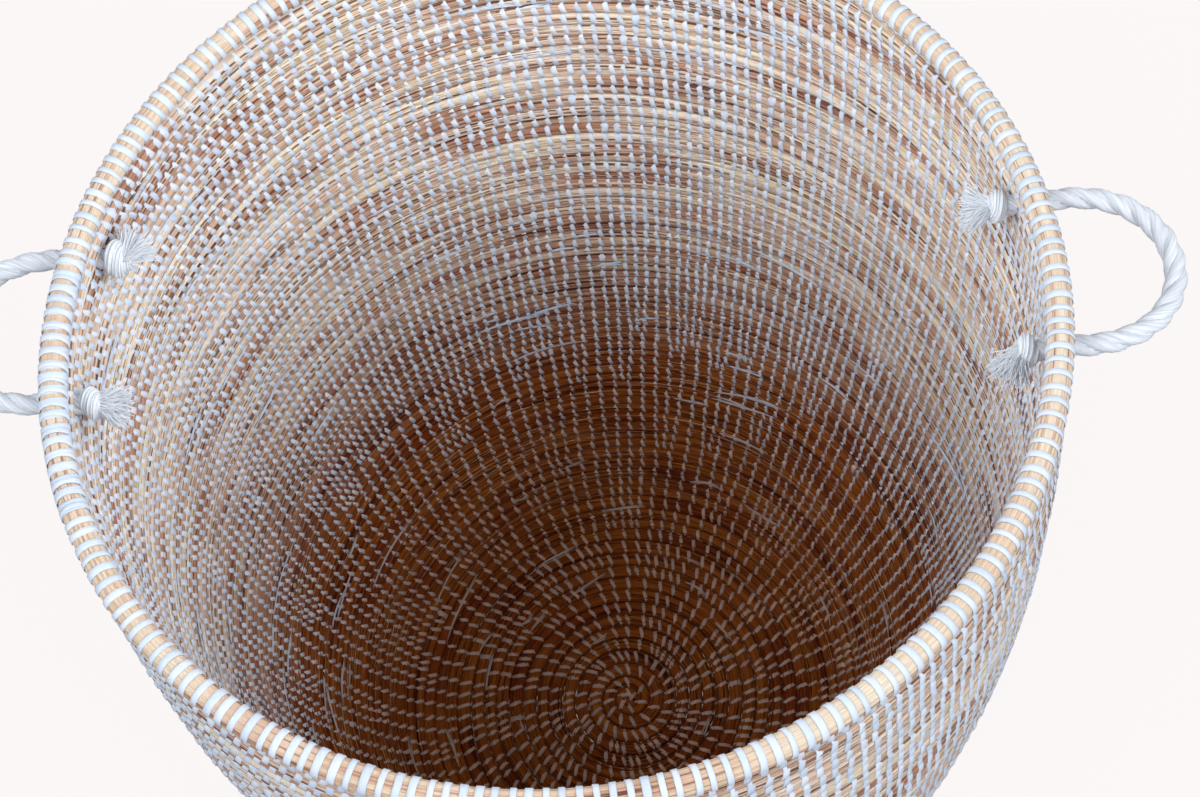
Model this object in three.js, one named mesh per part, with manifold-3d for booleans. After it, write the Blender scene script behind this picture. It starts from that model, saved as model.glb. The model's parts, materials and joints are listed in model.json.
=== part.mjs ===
// A laundry basket coiled from grass: the coil winds out from the middle of the floor and up
// the wall, a thicker coil closes the rim, and two rope handles are knotted inside the wall.
// Millimetres, +Z up. The origin is under the middle of the floor, and the handles lie near X.
import * as THREE from "three";
import { mergeVertices } from "three/addons/utils/BufferGeometryUtils.js";
import Module from "manifold-3d";

const wasm = await Module();
wasm.setup();

// The grass coil
const coilPitch = 10.6; // from one row of the coil to the next
const coilWidth = 10; // across a row, which leaves the slit between two rows
const coilThickness = 10; // through the floor or the wall
const floorRows = 11; // rows in the flat middle of the floor

// The wall, as the line through the middle of its thickness
const rimRadius = 235; // at the rim coil
const rimHeight = 644; // the rim coil's centre over the ground
const rimFlare = 7; // how far the wall leans out on the way down from the rim
const rimLean = 54; // the drop over which it leans
const bellyRadius = 249; // at the widest row
const bellyHeight = 440;
const bellyUpperPull = 60; // how far the wall runs upright over the belly
const bellyLowerPull = 230; // how far it runs upright under the belly
const heelPull = 88; // how far the wall runs flat from the floor's edge
const wallCourses = 24; // the wall's rows are drawn as this many broader courses
const courseDepth = 1.8; // from a course's crest to its groove, on each face

// The rim
const rimCoilRadius = 6.5;

// The rope handles
const ropeRadius = 5.5;
const handleSpan = 80; // between the two legs of a handle
const handleDrop = 21; // the rope holes under the rim coil's centre
const handleReach = 52; // from the pivot to the rope at the middle of the handle
const handleBulge = 6; // how far each leg bows outwards
const handleSetback = 3; // degrees that each handle sits round from X towards the back
const knotRadius = 9.5;
const knotHalfDepth = 5.5; // a knot is pulled flat against the wall
const tasselLength = 17;
const tasselNeckRadius = 4.5;
const tasselEndRadius = 12;
const tasselDroop = 25; // degrees under level

// Clearances
const seatGap = 0.3; // between pieces that bear on each other
const cutReach = 30; // how far a cutting shape passes the piece that it cuts
const footInset = 1; // how far the uncut wall starts inside the cut that gives its foot an edge

// Fineness of the faceted shapes
const wallSides = 32;
const loopSteps = 24;
const rimSides = 8;
const ropeSides = 10;
const ropeSteps = 28;
const knotSides = 12;
const tasselSides = 12;

const ropeHeight = rimHeight - handleDrop;
const halfSpan = handleSpan / 2;
const setback = THREE.MathUtils.degToRad(handleSetback);
const floorCoilRadius = coilPitch * floorRows;
const floorMiddle = coilThickness / 2;
// The cos factor is how far the flat sides of a faceted ring lie inside its corners.
const facetShare = Math.cos(Math.PI / wallSides);

const grass = new THREE.MeshStandardMaterial({ color: 0xc8a078, roughness: 0.85, metalness: 0 });
const lashedGrass = new THREE.MeshStandardMaterial({ color: 0xd9cdbd, roughness: 0.7, metalness: 0 });
const whiteRope = new THREE.MeshStandardMaterial({ color: 0xe1e8f0, roughness: 0.9, metalness: 0 });

function toSolid(geometry) {
  const bare = geometry.clone();
  bare.deleteAttribute("normal");
  bare.deleteAttribute("uv");
  const merged = mergeVertices(bare, 1e-4);
  return new wasm.Manifold(
    new wasm.Mesh({
      numProp: 3,
      vertProperties: merged.attributes.position.array,
      triVerts: new Uint32Array(merged.index.array),
    }),
  );
}

function fromSolid(solid) {
  const mesh = solid.getMesh();
  const geometry = new THREE.BufferGeometry();
  geometry.setAttribute("position", new THREE.BufferAttribute(mesh.vertProperties, 3));
  geometry.setIndex(new THREE.BufferAttribute(mesh.triVerts, 1));
  geometry.computeVertexNormals();
  return geometry;
}

// A closed ring about Z, from an outline of (radius, height) points
function turned(outline, sides) {
  return new THREE.LatheGeometry(outline, sides).rotateX(Math.PI / 2);
}

// A closed tube through rings of points, each ring running the same way round
function tubeThroughRings(rings) {
  const sides = rings[0].length;
  const last = rings.length - 1;
  const points = rings.flat();
  const faces = [];
  for (let i = 0; i < last; i += 1) {
    for (let j = 0; j < sides; j += 1) {
      const a = i * sides + j;
      const b = i * sides + ((j + 1) % sides);
      faces.push(a, a + sides, b, b, a + sides, b + sides);
    }
  }
  for (let j = 1; j < sides - 1; j += 1) {
    faces.push(0, j, j + 1);
    faces.push(last * sides, last * sides + j + 1, last * sides + j);
  }
  const geometry = new THREE.BufferGeometry().setFromPoints(points);
  geometry.setIndex(faces);
  geometry.computeVertexNormals();
  return geometry;
}

// Floor: one unbroken coil from the middle of the floor outwards
const spiralStart = 1.4 * Math.PI; // the first bend is as tight as the coil allows
const spiralEnd = 2 * Math.PI * floorRows;
const spiralRadius = (angle) => (coilPitch * angle) / (2 * Math.PI);

// The section of a row: flat above and below, with its sides drawn to an edge
const rowSection = [
  [-coilWidth / 2, 0],
  [-coilWidth / 4, -coilThickness / 2],
  [coilWidth / 4, -coilThickness / 2],
  [coilWidth / 2, 0],
  [coilWidth / 4, coilThickness / 2],
  [-coilWidth / 4, coilThickness / 2],
];

function floorRings() {
  const steps = Math.round(((spiralEnd - spiralStart) / (2 * Math.PI)) * loopSteps);
  const rings = [];
  for (let i = 0; i <= steps; i += 1) {
    const angle = spiralStart + ((spiralEnd - spiralStart) * i) / steps;
    const ring = rowSection.map(([across, up]) => {
      const radius = spiralRadius(angle) + across;
      return new THREE.Vector3(radius * Math.cos(angle), radius * Math.sin(angle), floorMiddle + up);
    });
    rings.push(ring);
  }
  return rings;
}

// The least distance between points of the coil that are half a turn or more apart along it
function leastSelfGap(rings) {
  let least = Infinity;
  for (let i = 0; i < rings.length; i += 1) {
    for (let j = i + loopSteps / 2; j < rings.length; j += 1) {
      for (const p of rings[i]) {
        for (const q of rings[j]) {
          least = Math.min(least, p.distanceTo(q));
        }
      }
    }
  }
  return least;
}

function makeFloor() {
  const rings = floorRings();
  console.log("floor coil: least gap to itself", leastSelfGap(rings).toFixed(2), "mm");
  return tubeThroughRings(rings);
}

// Wall
const floorHoleLeast = floorCoilRadius - coilPitch + coilWidth / 2 + seatGap;
const wallStart = floorHoleLeast - footInset;
const wallTop = rimHeight - rimCoilRadius - seatGap;
const floorEdge = floorCoilRadius + coilWidth / 2 + seatGap;

const wallLine = new THREE.CurvePath();
wallLine.add(
  new THREE.LineCurve(
    new THREE.Vector2(wallStart, floorMiddle),
    new THREE.Vector2(floorEdge, floorMiddle),
  ),
);
wallLine.add(
  new THREE.CubicBezierCurve(
    new THREE.Vector2(floorEdge, floorMiddle),
    new THREE.Vector2(floorEdge + heelPull, floorMiddle),
    new THREE.Vector2(bellyRadius, bellyHeight - bellyLowerPull),
    new THREE.Vector2(bellyRadius, bellyHeight),
  ),
);
wallLine.add(
  new THREE.CubicBezierCurve(
    new THREE.Vector2(bellyRadius, bellyHeight),
    new THREE.Vector2(bellyRadius, bellyHeight + bellyUpperPull),
    new THREE.Vector2(rimRadius + rimFlare, wallTop - rimLean),
    new THREE.Vector2(rimRadius, wallTop),
  ),
);

// The wall's radius at a height, on its middle line
function wallRadiusAt(height) {
  const points = wallLine.getSpacedPoints(400);
  const above = points.findIndex((p, i) => i > 0 && p.y >= height && points[i - 1].y < height);
  const low = points[above - 1];
  const high = points[above];
  return low.x + ((high.x - low.x) * (height - low.y)) / (high.y - low.y);
}

function wallOutline() {
  const steps = 2 * wallCourses;
  const outside = [];
  const inside = [];
  for (let i = 0; i <= steps; i += 1) {
    const share = i / steps;
    const middle = wallLine.getPointAt(share);
    const along = wallLine.getTangentAt(share);
    const half = coilThickness / 2 - (i % 2 === 0 ? courseDepth : 0);
    outside.push(new THREE.Vector2(middle.x + along.y * half, middle.y - along.x * half));
    inside.push(new THREE.Vector2(middle.x - along.y * half, middle.y + along.x * half));
  }
  return [...outside, ...inside.reverse(), outside[0].clone()];
}

// The hole in the middle of the wall's foot follows the floor coil's last turn and its end.
function floorHole() {
  const shape = new THREE.Shape();
  const margin = coilWidth / 2 + seatGap;
  const from = spiralEnd - 2 * Math.PI;
  const past = seatGap / floorEdge; // the angle that keeps the gap at the coil's end
  for (let i = 0; i <= loopSteps; i += 1) {
    const angle = from + (2 * Math.PI * i) / loopSteps + (i === loopSteps ? past : 0);
    const radius = (spiralRadius(Math.min(angle, spiralEnd)) + margin) / Math.cos(Math.PI / loopSteps);
    const x = radius * Math.cos(angle);
    const y = radius * Math.sin(angle);
    if (i === 0) shape.moveTo(radius * Math.cos(angle + past), radius * Math.sin(angle + past));
    else shape.lineTo(x, y);
  }
  shape.closePath();
  const depth = coilThickness + 2 * cutReach;
  const plug = new THREE.ExtrudeGeometry(shape, { depth, bevelEnabled: false, steps: 1 });
  return plug.translate(0, 0, -cutReach);
}

const wallMiddleAtRope = wallRadiusAt(ropeHeight);
const wallInsideAtRope = (wallMiddleAtRope - coilThickness / 2) * facetShare;
const wallOutsideAtRope = wallMiddleAtRope + coilThickness / 2;

// A handle turns about this place: the round end of each leg just clears the wall.
const pivotRadius = wallOutsideAtRope + ropeRadius + seatGap;
const pivotX = Math.sqrt(pivotRadius ** 2 - halfSpan ** 2);
const stubEndX = pivotX - ropeRadius - seatGap;

// A rope hole runs straight out through the wall, in line with its handle's leg.
function ropeHole(side, place) {
  const length = 2 * cutReach;
  const holeRadius = ropeRadius + seatGap;
  const middleX = side * wallMiddleAtRope * Math.cos(halfSpan / wallMiddleAtRope);
  return new THREE.CylinderGeometry(holeRadius, holeRadius, length, knotSides)
    .rotateZ(Math.PI / 2)
    .translate(middleX, place * halfSpan, ropeHeight)
    .rotateZ(side * setback);
}

function makeWall() {
  let solid = toSolid(turned(wallOutline(), wallSides)).subtract(toSolid(floorHole()));
  for (const side of [-1, 1]) {
    for (const place of [-1, 1]) {
      solid = solid.subtract(toSolid(ropeHole(side, place)));
    }
  }
  return fromSolid(solid);
}

function makeRimCoil() {
  return new THREE.TorusGeometry(rimRadius, rimCoilRadius, rimSides, wallSides).translate(0, 0, rimHeight);
}

// Handles: each is made for the +X side
const handleLine = new THREE.CubicBezierCurve3(
  new THREE.Vector3(0, -halfSpan, 0),
  new THREE.Vector3((handleReach * 4) / 3, -halfSpan - handleBulge, 0),
  new THREE.Vector3((handleReach * 4) / 3, halfSpan + handleBulge, 0),
  new THREE.Vector3(0, halfSpan, 0),
);

function makeHandle() {
  const section = new THREE.Shape();
  for (let i = 0; i < ropeSides; i += 1) {
    const angle = (2 * Math.PI * i) / ropeSides;
    const x = ropeRadius * Math.cos(angle);
    const y = ropeRadius * Math.sin(angle);
    if (i === 0) section.moveTo(x, y);
    else section.lineTo(x, y);
  }
  const rope = new THREE.ExtrudeGeometry(section, { steps: ropeSteps, extrudePath: handleLine });
  let solid = toSolid(rope);
  for (const place of [-1, 1]) {
    const end = new THREE.SphereGeometry(ropeRadius, ropeSides, ropeSides / 2 + 1);
    solid = solid.add(toSolid(end.rotateX(Math.PI / 2).translate(0, place * halfSpan, 0)));
  }
  return fromSolid(solid);
}

// A knot sits on the wall's inside, with the stub of rope that fills the hole.
const knotOuterY = halfSpan + knotRadius;
const knotX = Math.sqrt(wallInsideAtRope ** 2 - knotOuterY ** 2) - seatGap - knotHalfDepth;

function makeKnot() {
  const knot = new THREE.SphereGeometry(knotRadius, knotSides, knotSides / 2 + 2);
  knot.scale(knotHalfDepth / knotRadius, 1, 1);
  const length = stubEndX - knotX;
  const stub = new THREE.CylinderGeometry(ropeRadius, ropeRadius, length, ropeSides);
  stub.rotateZ(Math.PI / 2).translate(length / 2, 0, 0);
  return fromSolid(toSolid(knot).add(toSolid(stub)));
}

// How far the knot reaches towards the tassel, which droops from level
const droop = THREE.MathUtils.degToRad(tasselDroop);
const knotReach = Math.hypot(knotHalfDepth * Math.cos(droop), knotRadius * Math.sin(droop));

function makeTassel() {
  const outline = [
    new THREE.Vector2(0, 0),
    new THREE.Vector2(tasselNeckRadius, 0),
    new THREE.Vector2((tasselNeckRadius + tasselEndRadius) / 2, tasselLength / 3),
    new THREE.Vector2(tasselEndRadius, tasselLength * 0.85),
    new THREE.Vector2(tasselEndRadius * 0.8, tasselLength),
    new THREE.Vector2(0, tasselLength),
  ];
  return new THREE.LatheGeometry(outline, tasselSides).rotateZ(Math.PI / 2);
}

const basket = new THREE.Group();

function addPiece(parent, name, geometry, material) {
  const mesh = new THREE.Mesh(geometry, material);
  mesh.name = name;
  parent.add(mesh);
  return mesh;
}

addPiece(basket, "floor_coil", makeFloor(), grass);
addPiece(basket, "wall_coil", makeWall(), grass);
addPiece(basket, "rim_coil", makeRimCoil(), lashedGrass);

for (const [sideName, turn] of [["right", setback], ["left", Math.PI - setback]]) {
  const side = new THREE.Group();
  side.rotation.z = turn;
  basket.add(side);
  const handle = addPiece(side, `handle_rope_${sideName}`, makeHandle(), whiteRope);
  handle.position.set(pivotX, 0, ropeHeight);
  for (const place of [-1, 1]) {
    // The left side is turned half round, which swaps its front and its back.
    const inFront = sideName === "right" ? place < 0 : place > 0;
    const placeName = inFront ? "front" : "back";
    const knot = addPiece(side, `knot_${sideName}_${placeName}`, makeKnot(), whiteRope);
    knot.position.set(knotX, place * halfSpan, ropeHeight);
    const tassel = addPiece(side, `tassel_${sideName}_${placeName}`, makeTassel(), whiteRope);
    const offset = knotReach + seatGap;
    tassel.position.set(
      knotX - offset * Math.cos(droop),
      place * halfSpan,
      ropeHeight - offset * Math.sin(droop),
    );
    tassel.rotation.y = -droop;
  }
}

export default basket;
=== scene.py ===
"""A laundry basket coiled from dried grass and oversewn with white plastic strip.

The coil winds out from the middle of the floor and up the wall, a thicker coil closes the rim, and two
rope handles are knotted inside the wall. Everything is in metres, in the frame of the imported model.
"""
import json
import math

import bmesh
import bpy
import numpy as np
from mathutils import Matrix, Vector
from mathutils.geometry import interpolate_bezier


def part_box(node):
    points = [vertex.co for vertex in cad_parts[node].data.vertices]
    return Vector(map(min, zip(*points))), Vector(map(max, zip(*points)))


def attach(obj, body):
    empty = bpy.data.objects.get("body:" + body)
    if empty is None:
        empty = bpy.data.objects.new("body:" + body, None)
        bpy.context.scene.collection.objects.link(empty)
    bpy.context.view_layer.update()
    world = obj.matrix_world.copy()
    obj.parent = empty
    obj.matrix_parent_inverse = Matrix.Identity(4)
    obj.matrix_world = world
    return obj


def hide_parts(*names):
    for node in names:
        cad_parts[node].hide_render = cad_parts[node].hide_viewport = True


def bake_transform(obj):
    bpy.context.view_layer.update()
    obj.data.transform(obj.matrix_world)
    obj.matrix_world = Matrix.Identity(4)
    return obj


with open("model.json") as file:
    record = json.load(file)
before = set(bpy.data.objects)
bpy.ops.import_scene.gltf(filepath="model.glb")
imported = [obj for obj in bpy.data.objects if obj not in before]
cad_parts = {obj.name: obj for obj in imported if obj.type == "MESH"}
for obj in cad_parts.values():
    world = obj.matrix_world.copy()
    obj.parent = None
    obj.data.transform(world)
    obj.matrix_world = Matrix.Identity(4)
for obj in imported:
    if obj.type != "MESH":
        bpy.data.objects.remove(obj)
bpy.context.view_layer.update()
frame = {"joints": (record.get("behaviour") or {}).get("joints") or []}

MM = 0.001
FULL_TURN = 2 * math.pi
scene = bpy.context.scene
rng = np.random.default_rng(11)

# Sizes that the frame gives
rim_low, rim_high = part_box("rim_coil")
wall_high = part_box("wall_coil")[1]
RIM_COIL_RADIUS = (rim_high.z - rim_low.z) / 2
RIM_HEIGHT = (rim_high.z + rim_low.z) / 2
RIM_RADIUS = rim_high.x - RIM_COIL_RADIUS
WALL_HALF = 5 * MM  # half of the wall's thickness
BELLY_RADIUS = wall_high.x - WALL_HALF
WALL_TOP = rim_low.z - 0.3 * MM

# The wall's line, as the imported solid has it
FLOOR_EDGE = 121.9 * MM
FLOOR_MIDDLE = 5 * MM
BELLY_HEIGHT = 440 * MM
BELLY_UPPER_PULL = 60 * MM
BELLY_LOWER_PULL = 230 * MM
HEEL_PULL = 88 * MM
RIM_FLARE = 7 * MM
RIM_LEAN = 54 * MM

# The grass coil
FLOOR_PITCH = 10.6 * MM  # from one row to the next
LOWER_PITCH = 9.6 * MM
UPPER_PITCH = 10.7 * MM
FLOOR_TURNS = 11
COIL_STEP = 9 * MM
ROW_FLATNESS = 0.95  # a row's thickness as a share of its width
ROW_FULLNESS = 2.6  # 2 is an oval, and more is squarer
BLADE_STEP = 15 * MM
INNER_BLADES = 3600
OUTER_BLADES = 2000

# The strip that sews the coil
STRIP_WIDTH = 3.65 * MM
STRIP_CROWN = 0.34 * MM
MIDDLE_STITCH = 5.2 * MM  # from one stitch to the next, at the floor's middle
FLOOR_STITCH = 10.0 * MM
WALL_STITCH = 8.0 * MM
FLOOR_SLANT = math.radians(25)
WALL_SLANT = math.radians(16)
FLOOR_DRIFT = 0.3 * MM  # how far a stitch stands past the one in the row below
WALL_DRIFT = -0.3 * MM
STRAP_STEPS = 10
WALL_BANDS = 8  # the wall's rows are split into this many pieces
INNER_TAILS = 190
OUTER_TAILS = 150
TAIL_FIBRES = 7

# The rim
LASHING_SPACING = 6.9 * MM
LASHING_WIDTH = 3.2 * MM
LASHING_CROWN = 0.4 * MM
LASHING_LEAN = math.radians(6)
RIM_STEPS = 240
SPLIT_ENDS = 150
BOUND_SPACING = 6.3 * MM  # between the pairs of straps that bind the coil's end
COIL_END_FROM = math.radians(171)  # where the rim coil's end is bound, by the left handle
COIL_END_TO = math.radians(203)

# The rope handles
PLY_RADIUS = 3.3 * MM
PLY_OFFSET = 2.2 * MM
LAY_LENGTH = 38 * MM
HANDLE_HALF_SPAN = 40 * MM
HANDLE_REACH = 52 * MM
HANDLE_BULGE = 6 * MM
KNOT_PLACE = 24.8 * MM  # how far inside a handle's pivot its knots sit
KNOT_TURNS = 1.45
KNOT_REACH = 5.2 * MM
KNOT_DEPTH = 3.6 * MM
KNOT_YARNS = 56
YARN_RADIUS = 0.62 * MM
YARN_LAY = 80 * MM
TASSEL_LENGTH = 14 * MM
TASSEL_LOCKS = 13
LOCK_STRANDS = 46
STRAND_RADIUS = 0.32 * MM
STRAND_POINTS = 7

# Stage and light
FLOOR_GLOW = 0.92  # the share of its own light in what the camera sees of the floor
BACKDROP = "FDF9F8"
LAMP_COLOUR = (0.97, 0.98, 1.0)
LAMP_DISTANCE = 2.6
LAMP_AIM = 0.5  # the height that the soft boxes look at


def linear(colour):
    """An sRGB hex colour as linear RGBA."""
    channels = [int(colour[i:i + 2], 16) / 255 for i in (0, 2, 4)]
    return [c / 12.92 if c <= 0.04045 else ((c + 0.055) / 1.055) ** 2.4 for c in channels] + [1.0]


def add_node(tree, kind, inputs=None, stops=None, **settings):
    """Adds a node. inputs maps a socket's name or number to a value or to another node's output, and stops
    are a colour ramp's places and sRGB hex colours."""
    made = tree.nodes.new(kind)
    for name, value in settings.items():
        setattr(made, name, value)
    for key, value in (inputs or {}).items():
        if isinstance(value, bpy.types.NodeSocket):
            tree.links.new(value, made.inputs[key])
        else:
            made.inputs[key].default_value = value
    for number, (place, colour) in enumerate(stops or ()):
        elements = made.color_ramp.elements
        element = elements[number] if number < len(elements) else elements.new(place)
        element.position = place
        element.color = linear(colour)
    return made


def new_material(name):
    """A material, its node tree and its surface shader."""
    made = bpy.data.materials.new(name)
    made.use_nodes = True
    return made, made.node_tree, made.node_tree.nodes["Principled BSDF"]


# Camera
CAMERA_HEIGHT_ANGLE = math.radians(59.85)  # over the rim, seen from its middle
CAMERA_DISTANCE = 3.494 * 235 * MM
CAMERA_SIDE = math.radians(9.5)  # how far round from the front it stands
CAMERA_PITCH = math.radians(63.23)
CAMERA_YAW = math.radians(7.18)
CAMERA_ROLL = math.radians(-9.59)
LENS = 52.5


def make_camera():
    camera = bpy.data.objects.new("camera", bpy.data.cameras.new("camera"))
    camera.data.lens = LENS
    camera.data.sensor_width = 36
    camera.data.clip_start = 0.05
    camera.data.clip_end = 50
    back = Vector((0, -math.cos(CAMERA_HEIGHT_ANGLE), math.sin(CAMERA_HEIGHT_ANGLE)))
    place = Matrix.Rotation(CAMERA_SIDE, 3, "Z") @ (back * CAMERA_DISTANCE) + Vector((0, 0, RIM_HEIGHT))
    turn = (
        Matrix.Rotation(CAMERA_YAW, 4, "Z")
        @ Matrix.Rotation(math.pi / 2 - CAMERA_PITCH, 4, "X")
        @ Matrix.Rotation(CAMERA_ROLL, 4, "Z")
    )
    camera.matrix_world = Matrix.Translation(place) @ turn
    scene.collection.objects.link(camera)
    scene.camera = camera


make_camera()


# Materials


def place_on_strand(tree):
    """The length along a strand and the distance round it, in metres. A strand's shade moves it to a place of
    its own, so that no two strands have the same marks."""
    along = add_node(tree, "ShaderNodeAttribute", attribute_name="along")
    girth = add_node(tree, "ShaderNodeAttribute", attribute_name="girth")
    shade = add_node(tree, "ShaderNodeAttribute", attribute_name="shade")
    across = add_node(tree, "ShaderNodeMath", {0: shade.outputs["Fac"], 1: 10.0, 2: girth.outputs["Fac"]},
                      operation="MULTIPLY_ADD")
    place = add_node(tree, "ShaderNodeCombineXYZ", {"X": along.outputs["Fac"], "Y": across.outputs[0]})
    return place.outputs[0], along.outputs["Fac"], shade.outputs["Fac"]


def painted_depth_shade(tree, low, high):
    """The mask of painted shade deep in the basket: 1 up to a low height, falling to 0 at a high one, and far
    weaker on the outside, which stays paler.
    """
    place = add_node(tree, "ShaderNodeTexCoord")
    parts = add_node(tree, "ShaderNodeSeparateXYZ", {0: place.outputs["Object"]})
    foot = add_node(tree, "ShaderNodeMapRange", {
        "Value": parts.outputs["Z"], "From Min": low, "From Max": high, "To Min": 1.0, "To Max": 0.0},
        interpolation_type="SMOOTHSTEP")
    # A face is inside when it looks towards the basket's axis or up, or lies on the floor.
    normal = add_node(tree, "ShaderNodeNewGeometry")
    to_axis = add_node(tree, "ShaderNodeVectorMath", {
        0: place.outputs["Object"], 1: (-1.0, -1.0, 0.0), 2: (0.0, 0.0, 0.05)}, operation="MULTIPLY_ADD")
    facing = add_node(tree, "ShaderNodeVectorMath", {0: normal.outputs["Normal"], 1: to_axis.outputs[0]},
                      operation="DOT_PRODUCT")
    on_floor = add_node(tree, "ShaderNodeMapRange", {
        "Value": parts.outputs["Z"], "From Min": 0.012, "From Max": 0.05, "To Min": 0.15, "To Max": 0.0})
    inward = add_node(tree, "ShaderNodeMath", {0: facing.outputs["Value"], 1: on_floor.outputs[0]})
    inside = add_node(tree, "ShaderNodeMapRange", {
        "Value": inward.outputs[0], "From Min": -0.03, "From Max": 0.03, "To Min": 0.25, "To Max": 1.0})
    near = add_node(tree, "ShaderNodeMath", {0: foot.outputs[0], 1: inside.outputs[0]}, operation="MULTIPLY")
    return near.outputs[0]


def dried_grass(name, tone_stops, painted_shade_colour):
    """Dried savanna grass, cut and bundled: matt blades from straw to red-brown, with painted shade between
    them and painted shade low inside the basket.
    """
    material, tree, shader = new_material(name)
    place, along, shade = place_on_strand(tree)
    # A blade is 1 to 2.5 mm wide and keeps its colour for 100 mm or more.
    blades = add_node(tree, "ShaderNodeMapping", {"Vector": place, "Scale": (7, 420, 1)})
    blade = add_node(tree, "ShaderNodeTexNoise", {"Vector": blades.outputs[0], "Scale": 1.0, "Detail": 3.0,
                                                  "Roughness": 0.7}, noise_dimensions="2D")
    # The dark end of the ramp below is painted shade in the gaps between blades; the rest is the blades' own
    # tones.
    tone_and_gap_shade = add_node(tree, "ShaderNodeMath", {0: shade, 1: 0.3, 2: blade.outputs["Fac"]},
                        operation="MULTIPLY_ADD")
    blade_colour = add_node(tree, "ShaderNodeValToRGB", {"Fac": tone_and_gap_shade.outputs[0]}, [
        (0.44, "664E46"), (0.51, "B69485"), (0.58, "DCC5B5"), (0.66, "ECE1D4"), (0.77, "F5F1E9")])
    # Each armful of grass has its own tone, and lasts for about 0.15 m of coil.
    armful = add_node(tree, "ShaderNodeTexNoise", {"W": along, "Scale": 7.0, "Detail": 2.0},
                      noise_dimensions="1D")
    tone = add_node(tree, "ShaderNodeValToRGB", {"Fac": armful.outputs["Fac"]}, tone_stops)
    toned = add_node(tree, "ShaderNodeMix", {"Factor": 0.9, 6: blade_colour.outputs[0], 7: tone.outputs[0]},
                     data_type="RGBA", blend_type="MULTIPLY")
    # Painted shade: inside, the grass of the floor and of the lower wall is made darker and redder, for the
    # shade and warm bounced light deep in the basket.
    foot = painted_depth_shade(tree, 0.14, 0.42)
    darker = add_node(tree, "ShaderNodeMix", {"Factor": foot, 6: toned.outputs[2], 7: linear(painted_shade_colour)},
                      data_type="RGBA", blend_type="MULTIPLY")
    tree.links.new(darker.outputs[2], shader.inputs["Base Color"])
    # The fibres are 0.4 mm wide.
    fibres = add_node(tree, "ShaderNodeMapping", {"Vector": place, "Scale": (60, 2400, 1)})
    fibre = add_node(tree, "ShaderNodeTexNoise", {"Vector": fibres.outputs[0], "Scale": 1.0, "Detail": 1.0},
                     noise_dimensions="2D")
    height = add_node(tree, "ShaderNodeMath", {0: blade.outputs["Fac"], 1: fibre.outputs["Fac"]})
    bump = add_node(tree, "ShaderNodeBump", {"Height": height.outputs[0], "Strength": 0.8,
                                             "Distance": 0.8 * MM})
    tree.links.new(bump.outputs[0], shader.inputs["Normal"])
    shader.inputs["Roughness"].default_value = 0.62
    shader.inputs["Specular IOR Level"].default_value = 0.15
    return material


def plastic_strip(painted_shade_colour):
    """Polyethylene strip, torn from sheet: cool white, faintly streaked along, with a soft gloss."""
    material, tree, shader = new_material("polyethylene strip")
    place, _, shade = place_on_strand(tree)
    strip_tone = add_node(tree, "ShaderNodeValToRGB", {"Fac": shade}, [
        (0.0, "C4D0E2"), (0.5, "D1DDED"), (1.0, "DCE5F2")])
    # Painted shade: inside, the strip on and near the floor is made darker and warmer, for the shade and warm
    # bounced light deep in the basket.
    foot = painted_depth_shade(tree, 0.02, 0.26)
    shaded_strip = add_node(tree, "ShaderNodeMix", {"Factor": foot, 6: strip_tone.outputs[0], 7: linear(painted_shade_colour)},
                    data_type="RGBA", blend_type="MULTIPLY")
    tree.links.new(shaded_strip.outputs[2], shader.inputs["Base Color"])
    # The streaks are 0.7 mm wide.
    streaks = add_node(tree, "ShaderNodeMapping", {"Vector": place, "Scale": (80, 1500, 1)})
    streak = add_node(tree, "ShaderNodeTexNoise", {"Vector": streaks.outputs[0], "Scale": 1.0, "Detail": 2.0},
                      noise_dimensions="2D")
    bump = add_node(tree, "ShaderNodeBump", {"Height": streak.outputs["Fac"], "Strength": 0.5,
                                             "Distance": 0.3 * MM})
    tree.links.new(bump.outputs[0], shader.inputs["Normal"])
    shader.inputs["Roughness"].default_value = 0.4
    shader.inputs["IOR"].default_value = 1.5
    return material


def cotton(name, stops, slant):
    """Soft white cotton yarn, about 1 mm wide, that winds at a slant round its strand."""
    material, tree, shader = new_material(name)
    place, _, _ = place_on_strand(tree)
    yarns = add_node(tree, "ShaderNodeMapping", {"Vector": place, "Rotation": (0, 0, slant),
                                                 "Scale": (60, 900, 1)})
    yarn = add_node(tree, "ShaderNodeTexNoise", {"Vector": yarns.outputs[0], "Scale": 1.0, "Detail": 3.0},
                    noise_dimensions="2D")
    colour = add_node(tree, "ShaderNodeValToRGB", {"Fac": yarn.outputs["Fac"]}, stops)
    tree.links.new(colour.outputs[0], shader.inputs["Base Color"])
    bump = add_node(tree, "ShaderNodeBump", {"Height": yarn.outputs["Fac"], "Strength": 0.5,
                                             "Distance": 0.5 * MM})
    tree.links.new(bump.outputs[0], shader.inputs["Normal"])
    shader.inputs["Roughness"].default_value = 0.9
    shader.inputs["Sheen Weight"].default_value = 0.3
    return material


# The last colour given to each grass is painted shade deep in the basket; the rim's is white and paints none.
GRASS = dried_grass("dried grass bundle", [
    (0.32, "CDA28C"), (0.42, "E8D0BF"), (0.5, "FAF2EA"), (0.62, "FFF8E4")], "AE6A29")
RIM_GRASS = dried_grass("paler grass of the rim", [
    (0.3, "E2BEA8"), (0.5, "F4E0CC"), (0.7, "FCF3E4")], "FFFFFF")
# The strip's last colour is painted shade and warm bounced light near the floor.
STRIP = plastic_strip("E8C0A4")
ROPE = cotton("twisted cotton rope", [(0.3, "C6CED8"), (0.5, "DAE0E8"), (0.7, "E9EDF2")], math.radians(-28))
YARN = cotton("frayed cotton yarn", [(0.3, "CBD2DB"), (0.5, "DDE3EA"), (0.7, "EBEFF3")], 0.0)


# Sweeps and placings


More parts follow.
